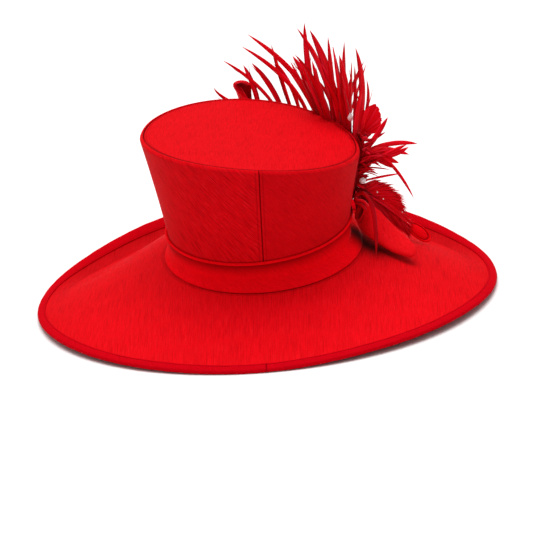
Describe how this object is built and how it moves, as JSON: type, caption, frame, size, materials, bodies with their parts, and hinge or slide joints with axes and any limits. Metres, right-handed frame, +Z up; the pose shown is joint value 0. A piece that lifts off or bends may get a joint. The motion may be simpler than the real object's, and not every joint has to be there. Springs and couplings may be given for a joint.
{
  "type": "wide-brim hat",
  "caption": "Wide-brim dress hat: flared crown with a slanting flat tip, folded band, drooping bound brim and a side mount of feathers, fabric petals and cut stones.",
  "frame": {"origin": "middle of the hat's outline seen from above, on the flat surface that it rests on", "axes": "+Z up, +Y towards the front of the hat, +X towards the wearer's right, where the feathers are"},
  "size_m": [0.4451, 0.4569, 0.2434],
  "materials": {
    "silk": "slubbed silk over a stiff shape, low sheen",
    "silk_fold": "the same silk, cut on the bias and folded",
    "feather": "dyed feather, glossy along the blade",
    "cut_glass": "clear, cut in facets"
  },
  "bodies": {
    "root": {"crown_side": "silk", "crown_tip": "silk", "hat_band": "silk_fold", "brim": "silk", "brim_binding": "silk_fold", "feather_fan": "feather", "feather_sprig": "feather", "curled_feather_right": "feather", "curled_feather_left": "feather", "hackle_plume": "feather", "drooping_blade": "feather", "folded_petal": "silk", "small_petal": "silk", "glass_drop": "cut_glass", "glass_ball": "cut_glass", "glass_stone_1": "cut_glass", "glass_stone_2": "cut_glass", "glass_stone_3": "cut_glass", "glass_stone_4": "cut_glass", "glass_stone_5": "cut_glass", "glass_stone_6": "cut_glass"}
  },
  "joints": []
}
